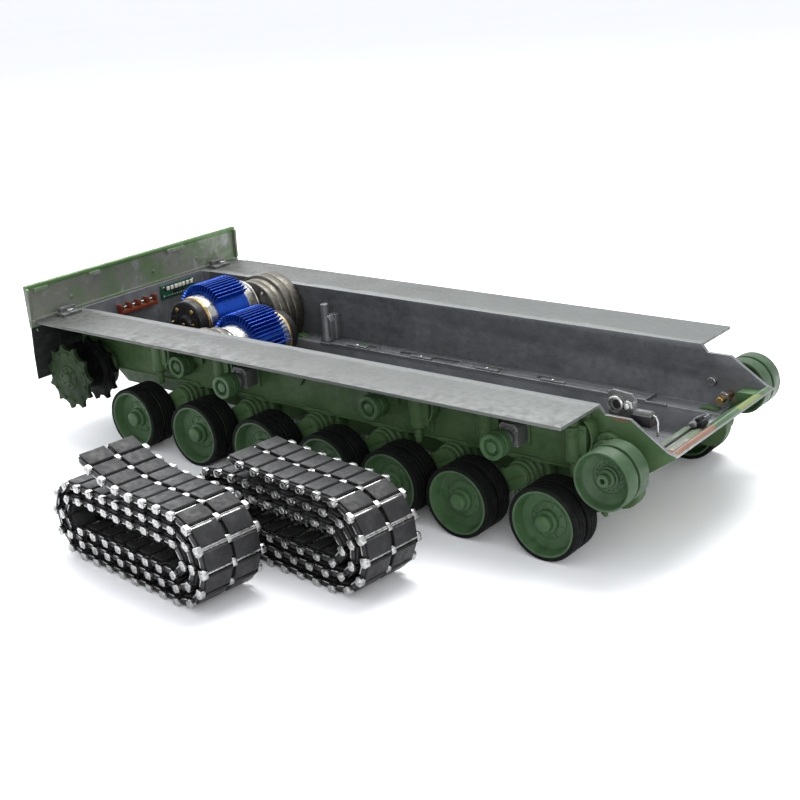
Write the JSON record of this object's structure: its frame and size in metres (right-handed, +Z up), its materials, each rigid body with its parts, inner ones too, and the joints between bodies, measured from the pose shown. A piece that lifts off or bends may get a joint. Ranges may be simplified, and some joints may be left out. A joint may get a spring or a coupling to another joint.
{
  "type": "tracked model tank chassis",
  "caption": "Open cast hull of a scale-model tracked vehicle with sprung road wheels, rollers, idlers, sprockets, two drive units and rolled-up tracks.",
  "frame": {"origin": "on the ground, at the middle of the whole kit's footprint", "axes": "+X towards the nose along the hull, +Y to the vehicle's left, +Z up"},
  "size_m": [0.489, 0.3478, 0.1096],
  "materials": {
    "raw_casting": "raw die-cast, mottled",
    "green_paint": "satin green paint",
    "gear_steel": "cast, brushed",
    "motor_can": "plated steel",
    "blue_anodised": "blue anodised",
    "circuit_green": "circuit board",
    "terminal_brown": "phenolic",
    "zinc_steel": "zinc plated",
    "tyre_rubber": "matt rubber",
    "track_metal": "bright nickel"
  },
  "bodies": {
    "hull": {"bump_stops": "green_paint", "circuit_board": "circuit_green", "gearbox_left": "gear_steel", "gearbox_right": "gear_steel", "heat_sinks": "blue_anodised", "hull_bosses": "green_paint", "hull_fasteners": "zinc_steel", "hull_floor_pan": "raw_casting", "motors": "motor_can", "mud_flaps": "tyre_rubber", "rear_plate": "green_paint", "roller_brackets": "green_paint", "side_frame_left": "raw_casting", "side_frame_right": "raw_casting", "terminal_strip": "terminal_brown", "torsion_bar_cover": "raw_casting"},
    "drive_sprocket_left": {"drive_sprocket_left": "green_paint"},
    "drive_sprocket_right": {"drive_sprocket_right": "green_paint"},
    "idler_crank_left": {"idler_crank_left": "green_paint"},
    "idler_crank_right": {"idler_crank_right": "green_paint"},
    "idler_wheel_left": {"idler_wheel_left": "green_paint"},
    "idler_wheel_right": {"idler_wheel_right": "green_paint"},
    "return_roller_left_1": {"return_roller_left_1": "green_paint"},
    "return_roller_left_2": {"return_roller_left_2": "green_paint"},
    "return_roller_left_3": {"return_roller_left_3": "green_paint"},
    "return_roller_left_4": {"return_roller_left_4": "green_paint"},
    "return_roller_right_1": {"return_roller_right_1": "green_paint"},
    "return_roller_right_2": {"return_roller_right_2": "green_paint"},
    "return_roller_right_3": {"return_roller_right_3": "green_paint"},
    "return_roller_right_4": {"return_roller_right_4": "green_paint"},
    "road_wheel_left_1": {"road_wheel_left_1": "green_paint"},
    "road_wheel_left_2": {"road_wheel_left_2": "green_paint"},
    "road_wheel_left_3": {"road_wheel_left_3": "green_paint"},
    "road_wheel_left_4": {"road_wheel_left_4": "green_paint"},
    "road_wheel_left_5": {"road_wheel_left_5": "green_paint"},
    "road_wheel_left_6": {"road_wheel_left_6": "green_paint"},
    "road_wheel_left_7": {"road_wheel_left_7": "green_paint"},
    "road_wheel_right_1": {"road_wheel_right_1": "green_paint"},
    "road_wheel_right_2": {"road_wheel_right_2": "green_paint"},
    "road_wheel_right_3": {"road_wheel_right_3": "green_paint"},
    "road_wheel_right_4": {"road_wheel_right_4": "green_paint"},
    "road_wheel_right_5": {"road_wheel_right_5": "green_paint"},
    "road_wheel_right_6": {"road_wheel_right_6": "green_paint"},
    "road_wheel_right_7": {"road_wheel_right_7": "green_paint"},
    "swing_arm_left_1": {"swing_arm_left_1": "green_paint"},
    "swing_arm_left_2": {"swing_arm_left_2": "green_paint"},
    "swing_arm_left_3": {"swing_arm_left_3": "green_paint"},
    "swing_arm_left_4": {"swing_arm_left_4": "green_paint"},
    "swing_arm_left_5": {"swing_arm_left_5": "green_paint"},
    "swing_arm_left_6": {"swing_arm_left_6": "green_paint"},
    "swing_arm_left_7": {"swing_arm_left_7": "green_paint"},
    "swing_arm_right_1": {"swing_arm_right_1": "green_paint"},
    "swing_arm_right_2": {"swing_arm_right_2": "green_paint"},
    "swing_arm_right_3": {"swing_arm_right_3": "green_paint"},
    "swing_arm_right_4": {"swing_arm_right_4": "green_paint"},
    "swing_arm_right_5": {"swing_arm_right_5": "green_paint"},
    "swing_arm_right_6": {"swing_arm_right_6": "green_paint"},
    "swing_arm_right_7": {"swing_arm_right_7": "green_paint"},
    "track_left": {"track_left": "track_metal"},
    "track_right": {"track_right": "track_metal"}
  },
  "joints": [
    {"name": "arm_right_1_swing", "type": "hinge", "parent": "hull", "child": "swing_arm_right_1", "pos_m": [-0.1284, 0.00443, 0.0349], "axis": [0, 1, 0], "range_deg": [0, 12], "stiffness_Nm_per_rad": 0.3, "springref_deg": -20.05},
    {"name": "wheel_right_1_spin", "type": "hinge", "parent": "swing_arm_right_1", "child": "road_wheel_right_1", "pos_m": [-0.1548, -0.01557, 0.0219], "axis": [0, 1, 0], "continuous": true},
    {"name": "arm_right_2_swing", "type": "hinge", "parent": "hull", "child": "swing_arm_right_2", "pos_m": [-0.0667, 0.00443, 0.0349], "axis": [0, 1, 0], "range_deg": [0, 12], "stiffness_Nm_per_rad": 0.3, "springref_deg": -20.05},
    {"name": "wheel_right_2_spin", "type": "hinge", "parent": "swing_arm_right_2", "child": "road_wheel_right_2", "pos_m": [-0.0931, -0.01557, 0.0219], "axis": [0, 1, 0], "continuous": true},
    {"name": "arm_right_3_swing", "type": "hinge", "parent": "hull", "child": "swing_arm_right_3", "pos_m": [-0.0084, 0.00443, 0.0349], "axis": [0, 1, 0], "range_deg": [0, 12], "stiffness_Nm_per_rad": 0.3, "springref_deg": -20.05},
    {"name": "wheel_right_3_spin", "type": "hinge", "parent": "swing_arm_right_3", "child": "road_wheel_right_3", "pos_m": [-0.0348, -0.01557, 0.0219], "axis": [0, 1, 0], "continuous": true},
    {"name": "arm_right_4_swing", "type": "hinge", "parent": "hull", "child": "swing_arm_right_4", "pos_m": [0.0478, 0.00443, 0.0349], "axis": [0, 1, 0], "range_deg": [0, 12], "stiffness_Nm_per_rad": 0.3, "springref_deg": -20.05},
    {"name": "wheel_right_4_spin", "type": "hinge", "parent": "swing_arm_right_4", "child": "road_wheel_right_4", "pos_m": [0.0214, -0.01557, 0.0219], "axis": [0, 1, 0], "continuous": true},
    {"name": "arm_right_5_swing", "type": "hinge", "parent": "hull", "child": "swing_arm_right_5", "pos_m": [0.0996, 0.00443, 0.0349], "axis": [0, 1, 0], "range_deg": [0, 12], "stiffness_Nm_per_rad": 0.3, "springref_deg": -20.05},
    {"name": "wheel_right_5_spin", "type": "hinge", "parent": "swing_arm_right_5", "child": "road_wheel_right_5", "pos_m": [0.0732, -0.01557, 0.0219], "axis": [0, 1, 0], "continuous": true},
    {"name": "arm_right_6_swing", "type": "hinge", "parent": "hull", "child": "swing_arm_right_6", "pos_m": [0.1499, 0.00443, 0.0349], "axis": [0, 1, 0], "range_deg": [0, 12], "stiffness_Nm_per_rad": 0.3, "springref_deg": -20.05},
    {"name": "wheel_right_6_spin", "type": "hinge", "parent": "swing_arm_right_6", "child": "road_wheel_right_6", "pos_m": [0.1235, -0.01557, 0.0219], "axis": [0, 1, 0], "continuous": true},
    {"name": "arm_right_7_swing", "type": "hinge", "parent": "hull", "child": "swing_arm_right_7", "pos_m": [0.2072, 0.00443, 0.0349], "axis": [0, 1, 0], "range_deg": [0, 12], "stiffness_Nm_per_rad": 0.3, "springref_deg": -20.05},
    {"name": "wheel_right_7_spin", "type": "hinge", "parent": "swing_arm_right_7", "child": "road_wheel_right_7", "pos_m": [0.1808, -0.01557, 0.0219], "axis": [0, 1, 0], "continuous": true},
    {"name": "roller_right_1_spin", "type": "hinge", "parent": "hull", "child": "return_roller_right_1", "pos_m": [-0.1249, -0.00157, 0.059], "axis": [0, 1, 0], "continuous": true},
    {"name": "roller_right_2_spin", "type": "hinge", "parent": "hull", "child": "return_roller_right_2", "pos_m": [-0.0651, -0.01757, 0.059], "axis": [0, 1, 0], "continuous": true},
    {"name": "roller_right_3_spin", "type": "hinge", "parent": "hull", "child": "return_roller_right_3", "pos_m": [0.0452, -0.00157, 0.059], "axis": [0, 1, 0], "continuous": true},
    {"name": "roller_right_4_spin", "type": "hinge", "parent": "hull", "child": "return_roller_right_4", "pos_m": [0.1464, -0.01757, 0.059], "axis": [0, 1, 0], "continuous": true},
    {"name": "idler_right_tension", "type": "hinge", "parent": "hull", "child": "idler_crank_right", "pos_m": [0.205, 0.00443, 0.0605], "axis": [0, 1, 0], "range_deg": [-12, 12]},
    {"name": "idler_right_spin", "type": "hinge", "parent": "idler_crank_right", "child": "idler_wheel_right", "pos_m": [0.2173, -0.01557, 0.0545], "axis": [0, 1, 0], "continuous": true},
    {"name": "sprocket_right_spin", "type": "hinge", "parent": "hull", "child": "drive_sprocket_right", "pos_m": [-0.219, -0.01357, 0.0427], "axis": [0, 1, 0], "continuous": true},
    {"name": "track_right_lift", "type": "slide", "parent": "hull", "child": "track_right", "axis": [0, 0, 1], "range_m": [0, 0.08]},
    {"name": "arm_left_1_swing", "type": "hinge", "parent": "hull", "child": "swing_arm_left_1", "pos_m": [-0.1284, 0.13443, 0.0349], "axis": [0, 1, 0], "range_deg": [0, 12], "stiffness_Nm_per_rad": 0.3, "springref_deg": -20.05},
    {"name": "wheel_left_1_spin", "type": "hinge", "parent": "swing_arm_left_1", "child": "road_wheel_left_1", "pos_m": [-0.1548, 0.15443, 0.0219], "axis": [0, 1, 0], "continuous": true},
    {"name": "arm_left_2_swing", "type": "hinge", "parent": "hull", "child": "swing_arm_left_2", "pos_m": [-0.0667, 0.13443, 0.0349], "axis": [0, 1, 0], "range_deg": [0, 12], "stiffness_Nm_per_rad": 0.3, "springref_deg": -20.05},
    {"name": "wheel_left_2_spin", "type": "hinge", "parent": "swing_arm_left_2", "child": "road_wheel_left_2", "pos_m": [-0.0931, 0.15443, 0.0219], "axis": [0, 1, 0], "continuous": true},
    {"name": "arm_left_3_swing", "type": "hinge", "parent": "hull", "child": "swing_arm_left_3", "pos_m": [-0.0084, 0.13443, 0.0349], "axis": [0, 1, 0], "range_deg": [0, 12], "stiffness_Nm_per_rad": 0.3, "springref_deg": -20.05},
    {"name": "wheel_left_3_spin", "type": "hinge", "parent": "swing_arm_left_3", "child": "road_wheel_left_3", "pos_m": [-0.0348, 0.15443, 0.0219], "axis": [0, 1, 0], "continuous": true},
    {"name": "arm_left_4_swing", "type": "hinge", "parent": "hull", "child": "swing_arm_left_4", "pos_m": [0.0478, 0.13443, 0.0349], "axis": [0, 1, 0], "range_deg": [0, 12], "stiffness_Nm_per_rad": 0.3, "springref_deg": -20.05},
    {"name": "wheel_left_4_spin", "type": "hinge", "parent": "swing_arm_left_4", "child": "road_wheel_left_4", "pos_m": [0.0214, 0.15443, 0.0219], "axis": [0, 1, 0], "continuous": true},
    {"name": "arm_left_5_swing", "type": "hinge", "parent": "hull", "child": "swing_arm_left_5", "pos_m": [0.0996, 0.13443, 0.0349], "axis": [0, 1, 0], "range_deg": [0, 12], "stiffness_Nm_per_rad": 0.3, "springref_deg": -20.05},
    {"name": "wheel_left_5_spin", "type": "hinge", "parent": "swing_arm_left_5", "child": "road_wheel_left_5", "pos_m": [0.0732, 0.15443, 0.0219], "axis": [0, 1, 0], "continuous": true},
    {"name": "arm_left_6_swing", "type": "hinge", "parent": "hull", "child": "swing_arm_left_6", "pos_m": [0.1499, 0.13443, 0.0349], "axis": [0, 1, 0], "range_deg": [0, 12], "stiffness_Nm_per_rad": 0.3, "springref_deg": -20.05},
    {"name": "wheel_left_6_spin", "type": "hinge", "parent": "swing_arm_left_6", "child": "road_wheel_left_6", "pos_m": [0.1235, 0.15443, 0.0219], "axis": [0, 1, 0], "continuous": true},
    {"name": "arm_left_7_swing", "type": "hinge", "parent": "hull", "child": "swing_arm_left_7", "pos_m": [0.2072, 0.13443, 0.0349], "axis": [0, 1, 0], "range_deg": [0, 12], "stiffness_Nm_per_rad": 0.3, "springref_deg": -20.05},
    {"name": "wheel_left_7_spin", "type": "hinge", "parent": "swing_arm_left_7", "child": "road_wheel_left_7", "pos_m": [0.1808, 0.15443, 0.0219], "axis": [0, 1, 0], "continuous": true},
    {"name": "roller_left_1_spin", "type": "hinge", "parent": "hull", "child": "return_roller_left_1", "pos_m": [-0.1249, 0.14043, 0.059], "axis": [0, 1, 0], "continuous": true},
    {"name": "roller_left_2_spin", "type": "hinge", "parent": "hull", "child": "return_roller_left_2", "pos_m": [-0.0651, 0.15643, 0.059], "axis": [0, 1, 0], "continuous": true},
    {"name": "roller_left_3_spin", "type": "hinge", "parent": "hull", "child": "return_roller_left_3", "pos_m": [0.0452, 0.14043, 0.059], "axis": [0, 1, 0], "continuous": true},
    {"name": "roller_left_4_spin", "type": "hinge", "parent": "hull", "child": "return_roller_left_4", "pos_m": [0.1464, 0.15643, 0.059], "axis": [0, 1, 0], "continuous": true},
    {"name": "idler_left_tension", "type": "hinge", "parent": "hull", "child": "idler_crank_left", "pos_m": [0.205, 0.13443, 0.0605], "axis": [0, 1, 0], "range_deg": [-12, 12]},
    {"name": "idler_left_spin", "type": "hinge", "parent": "idler_crank_left", "child": "idler_wheel_left", "pos_m": [0.2173, 0.15443, 0.0545], "axis": [0, 1, 0], "continuous": true},
    {"name": "sprocket_left_spin", "type": "hinge", "parent": "hull", "child": "drive_sprocket_left", "pos_m": [-0.219, 0.15243, 0.0427], "axis": [0, 1, 0], "continuous": true},
    {"name": "track_left_lift", "type": "slide", "parent": "hull", "child": "track_left", "axis": [0, 0, 1], "range_m": [0, 0.08]}
  ]
}
